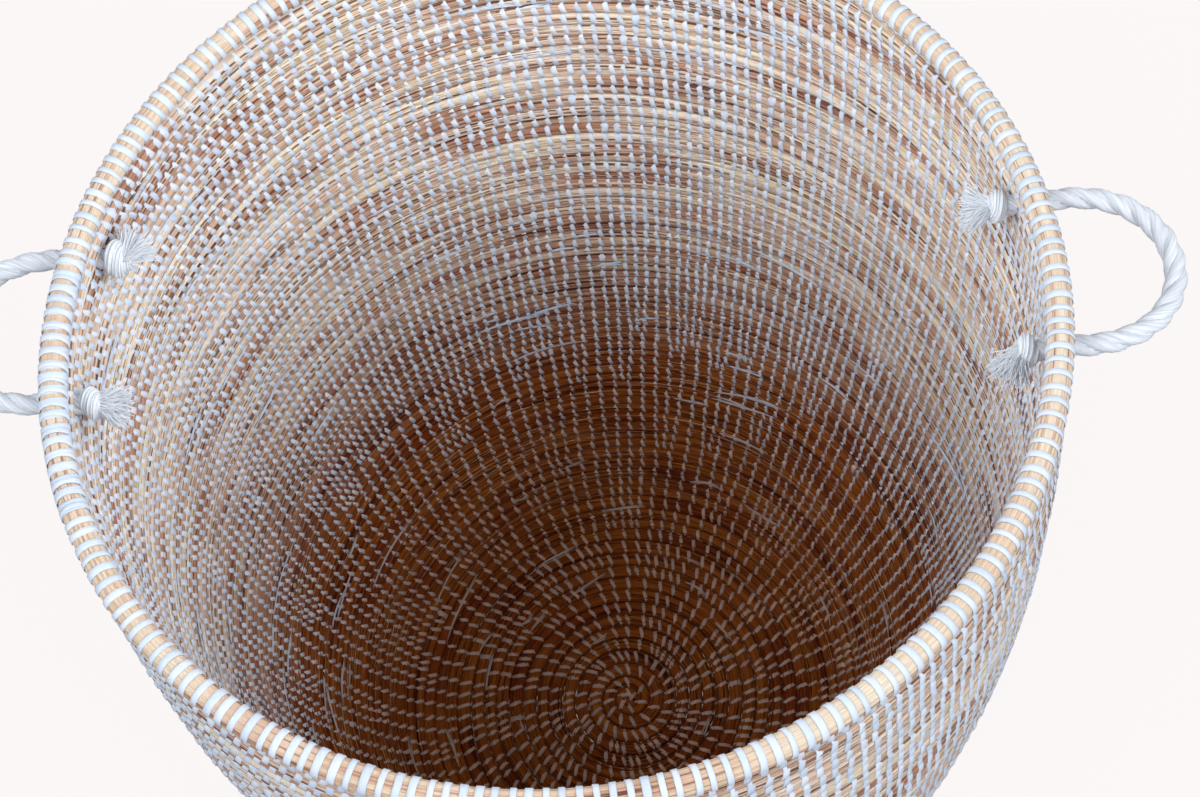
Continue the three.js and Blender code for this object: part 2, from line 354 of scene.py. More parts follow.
def grown(name, values, edges, tree):
    """A piece that a node tree grows from points. values maps each name to one value for every point."""
    mesh = bpy.data.meshes.new(name)
    mesh.vertices.add(len(values["place"]))
    mesh.vertices.foreach_set("co", values["place"].ravel())
    mesh.edges.add(len(edges))
    mesh.edges.foreach_set("vertices", edges.ravel())
    for label, given in values.items():
        if given.dtype.kind == "i":
            kind, field = "INT", "value"
        elif given.ndim == 1:
            kind, field = "FLOAT", "value"
        elif given.shape[1] == 4:
            kind, field = "QUATERNION", "value"
        else:
            kind, field = "FLOAT_VECTOR", "vector"
        mesh.attributes.new(label, kind, "POINT").data.foreach_set(field, given.ravel())
    holder = bpy.data.objects.new(name, mesh)
    scene.collection.objects.link(holder)
    holder.modifiers.new("grow", "NODES").node_group = tree
    final = bpy.data.meshes.new_from_object(holder.evaluated_get(bpy.context.evaluated_depsgraph_get()))
    bpy.data.objects.remove(holder)
    made = bpy.data.objects.new(name, final)
    scene.collection.objects.link(made)
    return made


def new_tree(name):
    """A node tree that takes and gives a geometry, and its input node."""
    tree = bpy.data.node_groups.new(name, "GeometryNodeTree")
    tree.interface.new_socket("Geometry", in_out="INPUT", socket_type="NodeSocketGeometry")
    tree.interface.new_socket("Geometry", in_out="OUTPUT", socket_type="NodeSocketGeometry")
    return tree, add_node(tree, "NodeGroupInput")


def oval(sides, half_width, half_height, fullness=2.0):
    """Points round an oval, each a height and a place across, from its lower edge. A fullness over 2 makes
    it squarer."""
    angles = FULL_TURN * (np.arange(sides) / sides - 0.25)
    height = half_height * np.sign(np.cos(angles)) * np.abs(np.cos(angles)) ** (2 / fullness)
    across = half_width * np.sign(np.sin(angles)) * np.abs(np.sin(angles)) ** (2 / fullness)
    return np.column_stack([height, across])


def section(name, points, size=1.0):
    """The nodes that carry a closed outline along lines. Its girth is measured there and back, in metres, so
    that no seam shows; size is what one unit of the outline measures."""
    corners = np.column_stack([points, np.zeros(len(points))])
    steps = np.linalg.norm(np.roll(points, -1, 0) - points, axis=1)
    round_it = np.concatenate([[0], np.cumsum(steps)])
    girth = np.minimum(round_it[:-1], round_it[-1] - round_it[:-1]) * size
    mesh = bpy.data.meshes.new(name)
    mesh.from_pydata(corners, [(i, (i + 1) % len(points)) for i in range(len(points))], [])
    mesh.attributes.new("girth", "FLOAT", "POINT").data.foreach_set("value", girth)
    outline = bpy.data.objects.new(name, mesh)
    tree, given = new_tree(name)
    held = add_node(tree, "GeometryNodeObjectInfo", {"Object": outline})
    profile = add_node(tree, "GeometryNodeMeshToCurve", {"Mesh": held.outputs["Geometry"]})
    lines = add_node(tree, "GeometryNodeMeshToCurve", {"Mesh": given.outputs[0]})
    facing = add_node(tree, "GeometryNodeInputNamedAttribute", {"Name": "facing"}, data_type="FLOAT_VECTOR")
    turned = add_node(tree, "GeometryNodeSetCurveNormal", {
        "Curve": lines.outputs[0], "Normal": facing.outputs["Attribute"]}, mode="FREE")
    width = add_node(tree, "GeometryNodeInputNamedAttribute", {"Name": "width"}, data_type="FLOAT")
    carried = add_node(tree, "GeometryNodeCurveToMesh", {
        "Curve": turned.outputs[0], "Profile Curve": profile.outputs[0], "Scale": width.outputs["Attribute"],
        "Fill Caps": True})
    smooth = add_node(tree, "GeometryNodeSetShadeSmooth", {"Geometry": carried.outputs[0]})
    add_node(tree, "NodeGroupOutput", {0: smooth.outputs[0]})
    return tree


def strand(points, facing, width=1.0, shade=0.5, start=0.0):
    """What a sweep knows at each point of a line: the way that the section's top faces, its width and shade,
    and the length along the line."""
    points = np.asarray(points, float)
    run = np.concatenate([[0], np.cumsum(np.linalg.norm(np.diff(points, axis=0), axis=1))])
    ones = np.ones(len(points))
    return {"place": points, "facing": np.asarray(facing, float), "width": width * ones,
            "shade": shade * ones, "along": start + run}


def swept(name, strands, tree, closed=False):
    """One mesh of a section carried along every strand."""
    values = {key: np.concatenate([one[key] for one in strands]) for key in strands[0]}
    ends = np.cumsum([len(one["place"]) for one in strands])
    starts = np.concatenate([[0], ends[:-1]])
    steps = np.arange(ends[-1] - 1)
    steps = steps[~np.isin(steps + 1, ends)]
    edges = np.column_stack([steps, steps + 1])
    if closed:
        edges = np.concatenate([edges, np.column_stack([ends - 1, starts])])
    return grown(name, values, edges, tree)


def dress(piece, material, slot, *nodes):
    """Gives a piece its material and hides the solids that it stands for. slot is not used."""
    piece.data.materials.clear()
    piece.data.materials.append(material)
    if nodes:
        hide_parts(*nodes)


def frames_along(points):
    """Two directions across a line at each of its points, carried along without twisting."""
    along = np.gradient(points, axis=0)
    along /= np.linalg.norm(along, axis=1)[:, None]
    across = [np.cross(along[0], (0.31, 0.17, 0.94))]
    for direction in along:
        carried = across[-1] - direction * (across[-1] @ direction)
        across.append(carried / np.linalg.norm(carried))
    across = np.array(across[1:])
    return across, np.cross(along, across)


def bundle(points, offsets, lay):
    """Strands that run side by side along a line, each at its own offset, and wind round it once in a lay."""
    across, other = frames_along(points)
    run = np.concatenate([[0], np.cumsum(np.linalg.norm(np.diff(points, axis=0), axis=1))])
    strands = []
    for number, (radius, angle) in enumerate(offsets):
        turn = angle + FULL_TURN * run / lay
        outward = np.cos(turn)[:, None] * across + np.sin(turn)[:, None] * other
        strands.append(strand(points + radius * outward, outward, shade=number / len(offsets)))
    return strands


def packed_offsets(count, radius):
    """Places of strands that fill a round bundle evenly."""
    golden = math.pi * (3 - math.sqrt(5))
    return [(radius * math.sqrt((i + 0.5) / count), i * golden) for i in range(count)]


# The rope handles come first, because they are cords


def side_place(handle):
    """Turns a place by a right-hand handle on X, outward, into the place by this handle."""
    hinge = next(joint for joint in frame["joints"] if joint["child"] == handle)
    pivot = Vector(hinge["pos_m"])
    return Matrix.Translation(pivot) @ Matrix.Rotation(math.atan2(pivot.y, pivot.x), 4, "Z")


def handle_line():
    """The rope's middle line from one knot through the wall, round the loop and back to the other knot."""
    pull = HANDLE_REACH * 4 / 3
    half, bow = HANDLE_HALF_SPAN, HANDLE_HALF_SPAN + HANDLE_BULGE
    loop = interpolate_bezier(Vector((0, -half, 0)), Vector((pull, -bow, 0)), Vector((pull, bow, 0)),
                              Vector((0, half, 0)), 60)
    stub = [Vector((-KNOT_PLACE * (1 - i / 10), -half, 0)) for i in range(10)]
    other_stub = [Vector((p.x, half, 0)) for p in reversed(stub)]
    return stub + list(loop) + other_stub


def make_handle(side):
    body = f"handle_{side}"
    place = side_place(body)
    points = np.array([tuple(place @ p) for p in handle_line()])
    ply = section("ply section", oval(12, PLY_RADIUS, PLY_RADIUS))
    plies = bundle(points, [(PLY_OFFSET, FULL_TURN * k / 3) for k in range(3)], LAY_LENGTH)
    rope = swept(f"{body}_rope", plies, ply)
    dress(rope, ROPE, "white_rope", f"handle_rope_{side}")
    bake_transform(rope)


def make_knot(side, end, seed):
    """A pulled knot of the rope's opened yarns, flat against the wall."""
    place = side_place(f"handle_{side}")
    share = np.linspace(0, 1, 40)
    turn = FULL_TURN * KNOT_TURNS * share + seed
    fat = 1.2 if (side, end) == ("left", "back") else 1.0
    reach = KNOT_REACH * fat * np.sin(math.pi * share) ** 0.4
    inward = KNOT_DEPTH * (0.5 - share) * fat
    front = 1 if (end == "front") == (side == "left") else -1
    centre = Vector((-KNOT_PLACE, front * HANDLE_HALF_SPAN, 0))
    points = np.column_stack([centre.x + inward, centre.y + 0.85 * reach * np.cos(turn),
                              1.15 * reach * np.sin(turn)])
    points = np.array([tuple(place @ Vector(p)) for p in points])
    yarns = bundle(points, packed_offsets(KNOT_YARNS, 3.5 * fat * MM), YARN_LAY)
    knot = swept(f"knot_{side}_{end}_yarns", yarns,
                 section("yarn section", oval(6, YARN_RADIUS, YARN_RADIUS)))
    dress(knot, YARN, "white_rope", f"knot_{side}_{end}")
    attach(knot, "basket")


# The fans of each tassel in the photograph: inward, across and up, and how wide each spreads in degrees
TASSEL_FANS = {
    ("left", "back"): [(0.3, 0.85, 0.25, 17), (0.8, 0.5, 0.15, 17)],
    ("left", "front"): [(0.9, 0.05, -0.25, 33)],
    ("right", "back"): [(0.75, 0.65, -0.15, 15), (0.9, 0.05, -0.2, 17), (0.75, -0.6, -0.2, 15)],
    ("right", "front"): [(0.6, -0.8, -0.25, 29)],
}


def make_tassel(side, end, seed):
    """Locks of frayed yarn that spread from the knot."""
    dice = np.random.default_rng(seed)
    place = side_place(f"handle_{side}")
    out_angle = math.atan2(place.translation.y, place.translation.x)
    front = 1 if (end == "front") == (side == "left") else -1
    neck = place @ Vector((-KNOT_PLACE - 2.5 * MM, front * HANDLE_HALF_SPAN, 0))
    fans = TASSEL_FANS[side, end]
    strands = []
    for lock in range(TASSEL_LOCKS):
        inward, across, up, widest = fans[lock % len(fans)]
        middle = Vector((-inward * math.cos(out_angle), -inward * math.sin(out_angle) + across, up))
        middle.normalize()
        side_way = middle.cross(Vector((0, 0, 1))).normalized()
        top_way = side_way.cross(middle)
        spread = math.radians(widest) * math.sqrt((lock + 0.5) / TASSEL_LOCKS)
        around = lock * 2.4 + seed
        lean = side_way * math.cos(around) + top_way * math.sin(around)
        heading = middle * math.cos(spread) + lean * math.sin(spread)
        for _ in range(LOCK_STRANDS):
            own = (heading + Vector(dice.normal(0, 0.1, 3))).normalized()
            start = neck + lean * 4.2 * MM * spread + Vector(dice.normal(0, 1.0 * MM, 3))
            reach = TASSEL_LENGTH * dice.uniform(0.7, 1.08)
            droop = Vector((0, 0, -dice.uniform(0.0, 0.2))) + Vector(dice.normal(0, 0.09, 3))
            curl = Vector(dice.normal(0, 0.35 * MM, 3))
            t = np.linspace(0, 1, STRAND_POINTS)
            points = [tuple(start + own * reach * a + droop * reach * a * a + curl * math.sin(5 * a))
                      for a in t]
            facing = np.tile(side_way.cross(own), (STRAND_POINTS, 1))
            strands.append(strand(points, facing, 1 - 0.25 * t, dice.random()))
    tassel = swept(f"tassel_{side}_{end}_strands", strands,
                   section("strand section", oval(4, STRAND_RADIUS, STRAND_RADIUS)))
    dress(tassel, YARN, "frayed_rope", f"tassel_{side}_{end}")
    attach(tassel, "basket")


for number, side_name in enumerate(("left", "right")):
    make_handle(side_name)
    for half_number, end_name in enumerate(("front", "back")):
        make_knot(side_name, end_name, 1.7 * number + 2.9 * half_number)
        make_tassel(side_name, end_name, 3 + 2 * number + half_number)


# The wall's line, and the coil on it


def wall_line():
    """Distance along the line from the floor's middle, radius and height, at close steps."""
    belly = Vector((BELLY_RADIUS, BELLY_HEIGHT))
    edge = Vector((FLOOR_EDGE, FLOOR_MIDDLE))
    top = Vector((RIM_RADIUS, WALL_TOP))
    lower = interpolate_bezier(edge, edge + Vector((HEEL_PULL, 0)), belly - Vector((0, BELLY_LOWER_PULL)),
                               belly, 600)
    upper = interpolate_bezier(belly, belly + Vector((0, BELLY_UPPER_PULL)),
                               top + Vector((RIM_FLARE, -RIM_LEAN)), top, 300)
    points = np.array([(0.0, FLOOR_MIDDLE)] + [tuple(p) for p in lower] + [tuple(p) for p in upper[1:]])
    steps = np.hypot(*np.diff(points, axis=0).T)
    return np.concatenate([[0.0], np.cumsum(steps)]), points[:, 0], points[:, 1]


line_length, line_radius, line_height = wall_line()
WALL_LENGTH = line_length[-1]


def wall_at(distance):
    """Radius, height and slope angle of the wall's line at distances from the floor's middle."""
    reach = 1 * MM
    radius = np.interp(distance, line_length, line_radius)
    height = np.interp(distance, line_length, line_height)
    ahead = np.minimum(distance + reach, WALL_LENGTH)
    behind = np.maximum(distance - reach, 0)
    rise = np.interp(ahead, line_length, line_height) - np.interp(behind, line_length, line_height)
    run = np.interp(ahead, line_length, line_radius) - np.interp(behind, line_length, line_radius)
    return radius, height, np.arctan2(rise, run)


def coil_table():
    """The coil's angle at close steps of distance, and the length of coil wound by then. The rows are
    thinner on the lower wall."""
    distance = np.linspace(0, WALL_LENGTH + 3 * UPPER_PITCH, 6000)
    pitch = np.interp(distance, [FLOOR_EDGE, 0.16, 0.48, 0.62],
                      [FLOOR_PITCH, LOWER_PITCH, LOWER_PITCH, UPPER_PITCH])
    step = np.diff(distance, prepend=0.0)
    angle = np.cumsum(FULL_TURN * step / pitch)
    radius = np.interp(distance, line_length, line_radius)
    wound = np.cumsum(radius * np.diff(angle, prepend=0.0))
    return distance, angle, wound


coil_distance, coil_angle, coil_wound = coil_table()
COIL_END = float(np.interp(WALL_LENGTH, coil_distance, coil_angle)) + math.pi


def distance_at(angle):
    return np.interp(angle, coil_angle, coil_distance)


def row_middle(angle):
    """Where a row's centre would lie at an angle, with the maker's small unevenness."""
    wound = np.interp(angle, coil_angle, coil_wound)
    # Each wave has a size in mm, a length of coil in metres for each radian, and a shift.
    waves = [(0.45, 0.031, 0.0), (0.4, 0.053, 1.3), (0.4, 0.087, 4.1), (0.9, 0.49, 2.0), (0.6, 0.75, 0.4)]
    uneven = sum(size * np.sin(wound / length + shift) for size, length, shift in waves)
    settled = np.clip((angle - 2 * FULL_TURN) / FULL_TURN, 0, 1)
    straight = np.where(angle < 0, FLOOR_PITCH * angle / FULL_TURN, distance_at(angle))
    return straight + uneven * settled * MM


def coil_at(angle):
    """The coil at angles: its points, half width and slope. A row reaches half way to its neighbours."""
    middle = row_middle(angle)
    above = np.minimum((middle + row_middle(angle + FULL_TURN)) / 2, WALL_LENGTH)
    below = np.clip((middle + row_middle(angle - FULL_TURN)) / 2, 0, WALL_LENGTH)
    radius, height, slope = wall_at((above + below) / 2)
    points = np.stack([radius * np.cos(angle), radius * np.sin(angle), height], -1)
    first_curl = 1.5 * MM * (1 - np.clip(angle / FULL_TURN, 0, 1))
    return points, (above - below) / 2 + first_curl, slope


def directions(angle, slope):
    """The directions along the coil, up the wall across its rows, and into the basket."""
    level = np.zeros_like(angle)
    along = np.stack([-np.sin(angle), np.cos(angle), level], -1)
    outward = np.stack([np.cos(angle), np.sin(angle), level], -1)
    steep, flat = np.sin(slope)[..., None], np.cos(slope)[..., None]
    rise = np.array([0.0, 0.0, 1.0])
    return along, outward * flat + rise * steep, rise * flat - outward * steep


def on_row(angle, side, face, lift):
    """Points on a row's face, and the way that it looks there. side runs from -1 to 1 across the row, and
    face is 1 inside the basket and -1 outside."""
    points, half, slope = coil_at(angle)
    _, up, inward = directions(angle, slope)
    side = np.clip(side, -0.97, 0.97)
    depth = (1 - np.abs(side) ** ROW_FULLNESS) ** (1 / ROW_FULLNESS)
    turn = np.arctan2(np.sign(side) * np.abs(side) ** (ROW_FULLNESS - 1),
                      depth ** (ROW_FULLNESS - 1) / ROW_FLATNESS)[:, None]
    facing = up * np.sin(turn) + inward * face * np.cos(turn)
    place = points + up * (side * half)[:, None] + inward * face * (depth * ROW_FLATNESS * half)[:, None]
    return place + facing * np.reshape(lift, (-1, 1)), facing


def coil_steps(start, end):
    """Angles from start to end, about a coil step apart and never fewer than 24 in a turn."""
    angles = [start]
    while angles[-1] < end:
        radius = max(float(wall_at(distance_at(angles[-1]))[0]), 5 * MM)
        angles.append(min(angles[-1] + min(COIL_STEP / radius, FULL_TURN / 24), end))
    return np.array(angles)


ROW_SECTION = section("row section", oval(14, 1, ROW_FLATNESS, ROW_FULLNESS), UPPER_PITCH / 2)


def make_rows(name, start, end, node):
    """The grass rows between two angles."""
    angles = coil_steps(start, end)
    points, half, slope = coil_at(angles)
    inward = directions(angles, slope)[2]
    wound = float(np.interp(start, coil_angle, coil_wound))
    # The rows get a low shade, so the grass under the loose blades is darker: painted shade beneath them.
    rows = swept(name, [strand(points, inward, np.maximum(half, 0.2 * MM), 0.3, wound)], ROW_SECTION)
    dress(rows, GRASS, "coiled_grass", node)
    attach(rows, "basket")


def make_blades(name, count, face):
    """Loose blades that lie along one face of the rows. face is 1 inside the basket and -1 outside."""
    last = np.interp(COIL_END - 0.3, coil_angle, coil_wound)
    strands = []
    for wound in np.sort(rng.uniform(0.3, last, count)):
        length = rng.uniform(40, 150) * MM
        steps = int(length / BLADE_STEP) + 2
        t = np.linspace(0, 1, steps)
        angles = np.interp(wound + t * length, coil_wound, coil_angle)
        side = rng.uniform(-0.95, 0.95) + rng.normal(0, 0.25) * (t - 0.5)
        lift = rng.uniform(-0.14, 0.04) * MM
        tips = rng.uniform(0, 0.25, 2) * MM
        lifts = lift + tips[0] * np.clip(1 - 5 * t, 0, 1) + tips[1] * np.clip(5 * t - 4, 0, 1)
        points, facing = on_row(angles, side, face, lifts)
        widths = rng.uniform(0.7, 1.35) * np.clip(0.45 + 4 * np.minimum(t, 1 - t), 0, 1)
        strands.append(strand(points, facing, widths, rng.random(), wound))
    blade = section("blade section", np.array([(-0.12, -0.7), (0.24, 0.0), (-0.12, 0.7)]) * MM)
    blades = swept(name, strands, blade)
    dress(blades, GRASS, "coiled_grass", "wall_coil", "floor_coil")
    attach(blades, "basket")


# Stitches


def strap_shape(name, unit, width, crown, steps, half_up, half_in, fullness):
    """One turn of strip round a row of half width 1 that runs along X. half_up and half_in are the strap's
    own half sizes, so that it dips into the grass at the row's edges and shows as a dash on each face. unit
    is the row's real half width."""
    shape = bmesh.new()
    outline = [(-width / 2, 0), (-width * 0.43, crown), (width * 0.43, crown), (width / 2, 0)]
    verts = [shape.verts.new((x / unit, 0, 1 + h / unit)) for x, h in outline]
    edges = [shape.edges.new((verts[i], verts[i - 1])) for i in range(len(verts))]
    bmesh.ops.spin(shape, geom=verts + edges, axis=(1, 0, 0), cent=(0, 0, 0), dvec=(0, 0, 0),
                   angle=FULL_TURN, steps=steps, use_merge=True)
    bmesh.ops.recalc_face_normals(shape, faces=shape.faces)
    around = [math.atan2(vert.co.y, vert.co.z) for vert in shape.verts]
    for vert, angle in zip(shape.verts, around):
        extra = math.hypot(vert.co.y, vert.co.z) - 1
        turned = angle + 0.13 * math.sin(2 * angle)  # more of the faces lie at the row's edges
        vert.co.y = (half_up + extra) * math.copysign(abs(math.sin(turned)) ** (2 / fullness), turned)
        vert.co.z = math.copysign(abs(math.cos(turned)) ** (2 / fullness), math.cos(turned))
        vert.co.z *= half_in + extra
    for face in shape.faces:
        face.smooth = True
    mesh = bpy.data.meshes.new(name)
    shape.to_mesh(mesh)
    shape.free()
    mesh.attributes.new("along", "FLOAT", "POINT").data.foreach_set("value", np.abs(around) * unit)
    across = [vert.co.x * unit for vert in mesh.vertices]
    mesh.attributes.new("girth", "FLOAT", "POINT").data.foreach_set("value", across)
    return bpy.data.objects.new(name, mesh)


def placing(name, *shapes):
    """The nodes that put a shape on every point, turned and scaled as the point says."""
    kinds_of_shape = bpy.data.collections.new(name)
    for shape in shapes:
        kinds_of_shape.objects.link(shape)
    tree, given = new_tree(name)
    kinds = add_node(tree, "GeometryNodeCollectionInfo", {"Collection": kinds_of_shape,
                                                          "Separate Children": True})
    turn = add_node(tree, "GeometryNodeInputNamedAttribute", {"Name": "turn"}, data_type="QUATERNION")
    size = add_node(tree, "GeometryNodeInputNamedAttribute", {"Name": "size"}, data_type="FLOAT_VECTOR")
    kind = add_node(tree, "GeometryNodeInputNamedAttribute", {"Name": "kind"}, data_type="INT")
    placed = add_node(tree, "GeometryNodeInstanceOnPoints", {
        "Points": given.outputs[0], "Instance": kinds.outputs[0], "Pick Instance": True,
        "Instance Index": kind.outputs["Attribute"], "Rotation": turn.outputs["Attribute"],
        "Scale": size.outputs["Attribute"]})
    real = add_node(tree, "GeometryNodeRealizeInstances", {"Geometry": placed.outputs[0]})
    add_node(tree, "NodeGroupOutput", {0: real.outputs[0]})
    return tree


def put_straps(name, straps, tree):
    """A mesh with a strap at each place, turn, size, kind and shade."""
    places, turns, sizes, kinds, shades = zip(*straps)
    values = {"place": np.array(places), "turn": np.array(turns), "size": np.array(sizes),
              "kind": np.array(kinds, np.int32), "shade": np.array(shades)}
    return grown(name, values, np.empty((0, 2), np.int32), tree)


def leaning(along, up, lean):
    """The turn of a strap whose upper end leans along the coil."""
    strap_up = up * math.cos(lean) + along * math.sin(lean)
    strap_along = along * math.cos(lean) - up * math.sin(lean)
    axes = Matrix((strap_along, strap_up, np.cross(strap_along, strap_up)))
    return tuple(axes.transposed().to_quaternion())


ROW_HALF = UPPER_PITCH / 2
STITCHES = placing(
    "stitches",
    strap_shape("stitch_a", ROW_HALF, STRIP_WIDTH, STRIP_CROWN, STRAP_STEPS, 0.95, 0.98, 2.8),
    strap_shape("stitch_b", ROW_HALF, 0.92 * STRIP_WIDTH, 1.3 * STRIP_CROWN, STRAP_STEPS, 0.95, 0.98, 2.8),
)


def stitch_angles():
    """The angle of every stitch. Each stands by one in the row below, and more are set where a gap grows."""
    angles = list(np.arange(0.6, 0.6 + FULL_TURN, 1.05))
    below = 1
    while True:
        evened = 0.65 * angles[below] + 0.35 * (angles[below - 1] + angles[below + 1]) / 2
        distance = float(distance_at(evened + FULL_TURN))
        radius = float(wall_at(distance)[0])
        drift = float(np.interp(distance, [0.1, 0.2], [FLOOR_DRIFT, WALL_DRIFT]))
        target = evened + FULL_TURN + drift / radius
        if target > COIL_END:
            return np.array(angles)
        spacing = float(np.interp(distance, [0.02, 0.06, 0.28, 0.36],
                                  [MIDDLE_STITCH, FLOOR_STITCH, FLOOR_STITCH, WALL_STITCH]))
        gap = (target - angles[-1]) * radius
        if gap > rng.uniform(1.15, 1.7) * spacing:
            angles.append((target + angles[-1]) / 2)
        if gap > 0.5 * spacing:
            angles.append(target)
        below += 1


def stitch_straps(angles):
    """The angle of each stitch, with its place, turn, size, kind and shade."""
    radius = np.maximum(wall_at(distance_at(angles))[0], 20 * MM)
    moved = angles + rng.normal(0, 0.4 * MM, len(angles)) / radius
    points, half, slope = coil_at(moved)
    along, up, _ = directions(moved, slope)
    slant = np.interp(distance_at(moved), [0.3, 0.45], [FLOOR_SLANT, WALL_SLANT])
    lean = slant + rng.normal(0, math.radians(4), len(moved))
    slimmer = np.interp(distance_at(moved), [0.3, 0.55], [0.84, 1.0])  # the lower stitches are drawn tighter
    straps = []
    for i in range(len(moved)):
        size = (ROW_HALF * slimmer[i] * rng.uniform(0.94, 1.08), half[i], half[i])
        kind = int(rng.random() < 0.35)
        leans = [lean[i], lean[i] - 0.5] if rng.random() < 0.03 else [lean[i]]  # a few are sewn twice, in a V
        for own in leans:
            turn = leaning(along[i], up[i], own)
            straps.append((angles[i], (points[i], turn, size, kind, rng.random())))
    return straps


def make_coil():
    """The floor's and the wall's rows with their stitches, in bands."""
    floor_end = FULL_TURN * FLOOR_TURNS
    edges = [0.0, floor_end] + list(np.linspace(floor_end, COIL_END, WALL_BANDS + 1)[1:])
    angles = stitch_angles()
    straps = stitch_straps(angles)
    for i, (start, end) in enumerate(zip(edges, edges[1:])):
        node = "floor_coil" if i == 0 else "wall_coil"
        label = "floor" if i == 0 else f"wall_{i}"
        make_rows(f"{label}_rows", start, end, node)
        band = [strap for angle, strap in straps if start <= angle < end]
        stitches = put_straps(f"{label}_stitches", band, STITCHES)
        dress(stitches, STRIP, "coiled_grass", node)
        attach(stitches, "basket")


make_coil()
make_blades("inner_blades", INNER_BLADES, 1)
make_blades("outer_blades", OUTER_BLADES, -1)


FIBRE = section("fibre section", np.array([(-0.1, -0.45), (0.2, 0.0), (-0.1, 0.45)]) * MM)


def make_tails(name, count, face):
    """Ends of strip that lie on the rows where one length runs out. Each is split into fibres that fan out at
    its loose end. face is 1 inside the basket and -1 outside."""
    strands = []
    first, last = np.interp([3 * FULL_TURN, COIL_END - 2 * FULL_TURN], coil_angle, coil_wound)
    for wound in np.sort(rng.uniform(first, last, count)):
        length = rng.uniform(12, 45) * MM * rng.choice([1.0, 1.0, 1.6])
        drop = rng.normal(-0.03, 0.12) * length
        row = distance_at(np.interp(wound, coil_wound, coil_angle)) + rng.uniform(-4, 4) * MM
        fan = rng.uniform(0.3, 1.3) * MM
        bulge = rng.uniform(0.2, 1.0) * MM
        sway = rng.normal(0, 1.3) * MM
        for _ in range(TAIL_FIBRES):
            t = np.linspace(rng.uniform(0, 0.22), 1 - rng.uniform(0, 0.25), 7)
            angles = np.interp(wound + t * length, coil_wound, coil_angle)
            wave = 0.35 * MM * np.sin(rng.uniform(0, FULL_TURN) + t * rng.uniform(3, 8))
            spread = rng.normal(0, 1) * fan * (1 - t) ** 1.7 + rng.normal(0, 0.45) * MM
            place = row + drop * t + sway * np.sin(math.pi * t) + spread + wave
            radius, height, slope = wall_at(np.clip(place, 0, WALL_LENGTH))
            inward = directions(angles, slope)[2] * face
            lift = WALL_HALF - 0.05 * MM + bulge * rng.random() * (1 - t) ** 2
            points = np.stack([radius * np.cos(angles), radius * np.sin(angles), height], -1)
            widths = rng.uniform(0.5, 1.2) * np.clip(0.4 + 4 * np.minimum(t - t[0], t[-1] - t), 0, 1)
            strands.append(strand(points + inward * lift[:, None], inward, widths, rng.uniform(0.1, 0.8)))
    tails = swept(name, strands, FIBRE)
    dress(tails, STRIP, "coiled_grass", "wall_coil")
    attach(tails, "basket")


make_tails("inner_tails", INNER_TAILS, 1)
make_tails("outer_tails", OUTER_TAILS, -1)


# Rim


def lashing_strap(angle, lean, wide, thick):
    """Place, turn, size, kind and shade of one strap round the rim coil."""
    along = np.array([-math.sin(angle), math.cos(angle), 0.0])
    place = (RIM_RADIUS * math.cos(angle), RIM_RADIUS * math.sin(angle), RIM_HEIGHT)
    size = (wide * RIM_COIL_RADIUS, thick * RIM_COIL_RADIUS, thick * RIM_COIL_RADIUS)
    return place, leaning(along, np.array([0.0, 0.0, 1.0]), lean), size, 0, rng.uniform(0.3, 1)


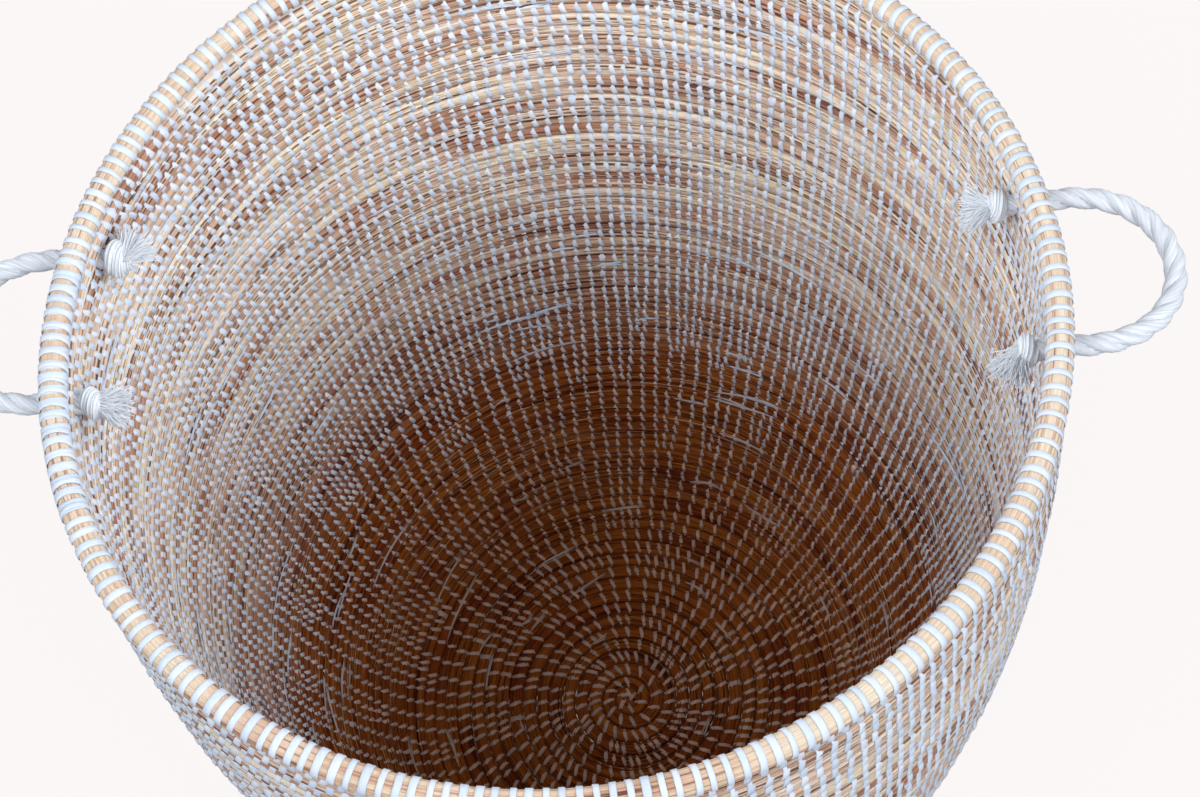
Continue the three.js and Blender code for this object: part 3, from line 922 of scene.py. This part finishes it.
def make_rim():
    angles = np.linspace(0, FULL_TURN, RIM_STEPS, endpoint=False)
    outward = np.column_stack([np.cos(angles), np.sin(angles), np.zeros(RIM_STEPS)])
    points = RIM_RADIUS * outward + np.array([0, 0, RIM_HEIGHT])
    core = RIM_COIL_RADIUS - 0.5 * MM
    ring = strand(points, outward, 1.0, 0.6)
    # The length runs there and back, so that no seam shows.
    ring["along"] = np.minimum(angles, FULL_TURN - angles) * RIM_RADIUS
    grass = swept("rim_grass", [ring], section("rim section", oval(16, core, core)), closed=True)
    dress(grass, RIM_GRASS, "lashed_rim", "rim_coil")
    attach(grass, "basket")

    straps = []
    count = round(FULL_TURN * RIM_RADIUS / LASHING_SPACING)
    for i in range(count):
        angle = FULL_TURN * i / count + rng.normal(0, 0.4 * MM) / RIM_RADIUS
        if not COIL_END_FROM < angle < COIL_END_TO:
            straps.append(lashing_strap(angle, LASHING_LEAN + rng.normal(0, math.radians(2.5)),
                                        rng.uniform(0.85, 1.25), 1.0))
    # The coil's end is bound closely, with pairs of straps that cross on the rim's top.
    pairs = int((COIL_END_TO - COIL_END_FROM) * RIM_RADIUS / BOUND_SPACING)
    for angle in np.linspace(COIL_END_FROM, COIL_END_TO, pairs):
        for lean, aside in ((13, 0.0), (-9, rng.uniform(1.5, 3.5) * MM)):
            own = math.radians(lean + rng.normal(0, 3))
            straps.append(lashing_strap(angle + (aside + rng.normal(0, 0.4 * MM)) / RIM_RADIUS, own,
                                        rng.uniform(1.0, 1.4), rng.uniform(1.0, 1.05)))
    lashing = placing("lashing", strap_shape("lashing_strap", RIM_COIL_RADIUS, LASHING_WIDTH, LASHING_CROWN,
                                             20, 0.96, 0.96, 2.0))
    bound = put_straps("rim_lashing", straps, lashing)
    dress(bound, STRIP, "lashed_rim", "rim_coil")
    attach(bound, "basket")

    # Split ends of the strip stand out under the bound part, inside the basket.
    strands = []
    for angle in rng.uniform(COIL_END_FROM, COIL_END_TO, SPLIT_ENDS):
        around = np.linspace(rng.uniform(0.1, 0.7), rng.uniform(1.1, 1.9), 5)
        reach = RIM_COIL_RADIUS + np.array([0.4, 0.6, 0.8, 1.1, 1.4]) * MM * rng.uniform(0.6, 1.2)
        inside = RIM_RADIUS - reach * np.cos(around)
        turned = angle + np.linspace(0, rng.uniform(1, 6) * MM / RIM_RADIUS, 5)
        points = np.column_stack([inside * np.cos(turned), inside * np.sin(turned),
                                  RIM_HEIGHT - reach * np.sin(around)])
        facing = np.column_stack([-np.cos(turned) * np.cos(around), -np.sin(turned) * np.cos(around),
                                  -np.sin(around)])
        strands.append(strand(points, facing, rng.uniform(0.6, 1.2) * np.array([0.6, 1, 1, 0.9, 0.5]),
                              rng.random()))
    ends = swept("rim_ends", strands, FIBRE)
    dress(ends, STRIP, "lashed_rim", "rim_coil")
    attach(ends, "basket")


make_rim()


# Stage and light


def make_stage():
    floor = bmesh.new()
    bmesh.ops.create_grid(floor, x_segments=1, y_segments=1, size=6)
    mesh = bpy.data.meshes.new("floor")
    floor.to_mesh(mesh)
    floor.free()
    ground = bpy.data.objects.new("floor", mesh)
    scene.collection.objects.link(ground)
    material, tree, shader = new_material("pale studio floor")
    path = add_node(tree, "ShaderNodeLightPath")
    # The floor is white to the camera, and throws less light on the basket.
    colour = add_node(tree, "ShaderNodeMix", {"Factor": path.outputs["Is Camera Ray"], 6: linear("8F8C8B"),
                                              7: linear("FBF7F5")}, data_type="RGBA")
    tree.links.new(colour.outputs[2], shader.inputs["Base Color"])
    shader.inputs["Roughness"].default_value = 0.9
    shader.inputs["Specular IOR Level"].default_value = 0.1
    glow = add_node(tree, "ShaderNodeEmission", {"Color": linear(BACKDROP), "Strength": 1.0})
    share = add_node(tree, "ShaderNodeMath", {0: path.outputs["Is Camera Ray"], 1: FLOOR_GLOW},
                     operation="MULTIPLY")
    mixed = add_node(tree, "ShaderNodeMixShader", {0: share.outputs[0], 1: shader.outputs[0],
                                                   2: glow.outputs[0]})
    tree.links.new(mixed.outputs[0], tree.nodes["Material Output"].inputs["Surface"])
    mesh.materials.append(material)


def add_soft_box(name, side, height, size, energy):
    """A square lamp that looks at the basket. side and height are the degrees at which it stands."""
    lamp = bpy.data.lights.new(name, "AREA")
    lamp.shape = "SQUARE"
    lamp.size = size
    lamp.energy = energy
    lamp.color = LAMP_COLOUR
    box = bpy.data.objects.new(name, lamp)
    scene.collection.objects.link(box)
    level, rise = math.cos(math.radians(height)), math.sin(math.radians(height))
    towards = Vector((level * math.cos(math.radians(side)), level * math.sin(math.radians(side)), rise))
    box.location = towards * LAMP_DISTANCE + Vector((0, 0, LAMP_AIM))
    box.rotation_euler = (-towards).to_track_quat("-Z", "Y").to_euler()


def make_light():
    """Pale walls under a dark ceiling, four soft boxes, and a small light over the mouth."""
    world = bpy.data.worlds.new("studio")
    scene.world = world
    world.use_nodes = True
    tree = world.node_tree
    light = tree.nodes["Background"]
    direction = add_node(tree, "ShaderNodeTexCoord")
    split = add_node(tree, "ShaderNodeSeparateXYZ", {0: direction.outputs["Generated"]})
    sky = add_node(tree, "ShaderNodeValToRGB", {"Fac": split.outputs["Z"]}, [
        (0.0, "C3C6CA"), (0.35, "E4E7EC"), (0.6, "E4E7EC"), (0.72, "8C8F93"), (0.85, "45474A")])
    tree.links.new(sky.outputs[0], light.inputs["Color"])
    light.inputs["Strength"].default_value = 1.0
    backdrop = add_node(tree, "ShaderNodeBackground", {"Color": linear(BACKDROP), "Strength": 1.0})
    path = add_node(tree, "ShaderNodeLightPath")
    mixed = add_node(tree, "ShaderNodeMixShader", {0: path.outputs["Is Camera Ray"], 1: light.outputs[0],
                                                   2: backdrop.outputs[0]})
    tree.links.new(mixed.outputs[0], tree.nodes["World Output"].inputs["Surface"])
    add_soft_box("left soft box", 230, 50, 1.4, 15)
    add_soft_box("right soft box", 335, 50, 1.4, 33)
    add_soft_box("high left soft box", 200, 62, 1.2, 16)
    add_soft_box("front soft box", 290, 45, 1.2, 6)
    overhead = bpy.data.lights.new("light over the mouth", "AREA")
    overhead.shape = "DISK"
    overhead.size = 0.24
    overhead.energy = 0.5
    overhead.color = LAMP_COLOUR
    disk = bpy.data.objects.new("light over the mouth", overhead)
    disk.location = (0, 0, RIM_HEIGHT + 56 * MM)
    disk.visible_camera = False
    scene.collection.objects.link(disk)


make_stage()
make_light()

scene.view_settings.view_transform = "Standard"
